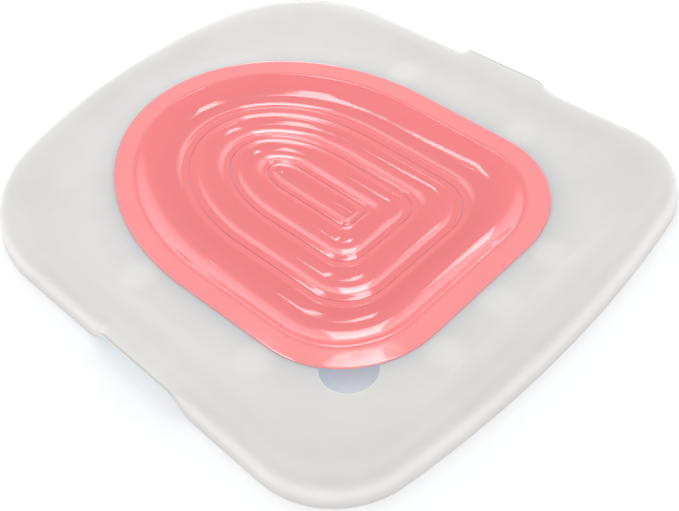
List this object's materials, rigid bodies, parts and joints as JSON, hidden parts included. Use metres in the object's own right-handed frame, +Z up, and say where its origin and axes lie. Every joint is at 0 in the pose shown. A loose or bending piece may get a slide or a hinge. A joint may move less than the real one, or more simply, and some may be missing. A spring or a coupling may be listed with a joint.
{
  "type": "cat toilet training tray",
  "caption": "Frosted plate that lies on a toilet bowl, holding a D-shaped ringed litter insert whose rings lift out one by one.",
  "frame": {"origin": "middle of the plate's outline, on the surface that its skirt rests on", "axes": "+Z up, +Y towards the round end of the D-shaped opening, +X to the right seen from the flat end"},
  "size_m": [0.36, 0.405, 0.016],
  "materials": {
    "frosted_plastic": "frosted, satin",
    "coral_sheet": "high gloss formed sheet",
    "foam": "soft foam"
  },
  "bodies": {
    "plate": {"base_plate": "frosted_plastic", "pad_back_left": "foam", "pad_back_middle": "foam", "pad_back_right": "foam", "pad_left_back": "foam", "pad_left_front": "foam", "pad_right_back": "foam", "pad_right_front": "foam"},
    "rim": {"litter_rim": "coral_sheet"},
    "ring_outer": {"outer_ring": "coral_sheet"},
    "ring_inner": {"inner_ring": "coral_sheet"},
    "cup": {"centre_cup": "coral_sheet"}
  },
  "joints": [
    {"name": "rim_lift", "type": "slide", "parent": "plate", "child": "rim", "axis": [0, 0, 1], "range_m": [0, 0.06]},
    {"name": "outer_ring_lift", "type": "slide", "parent": "rim", "child": "ring_outer", "axis": [0, 0, 1], "range_m": [0, 0.04]},
    {"name": "inner_ring_lift", "type": "slide", "parent": "ring_outer", "child": "ring_inner", "axis": [0, 0, 1], "range_m": [0, 0.04]},
    {"name": "cup_lift", "type": "slide", "parent": "ring_inner", "child": "cup", "axis": [0, 0, 1], "range_m": [0, 0.04]}
  ]
}
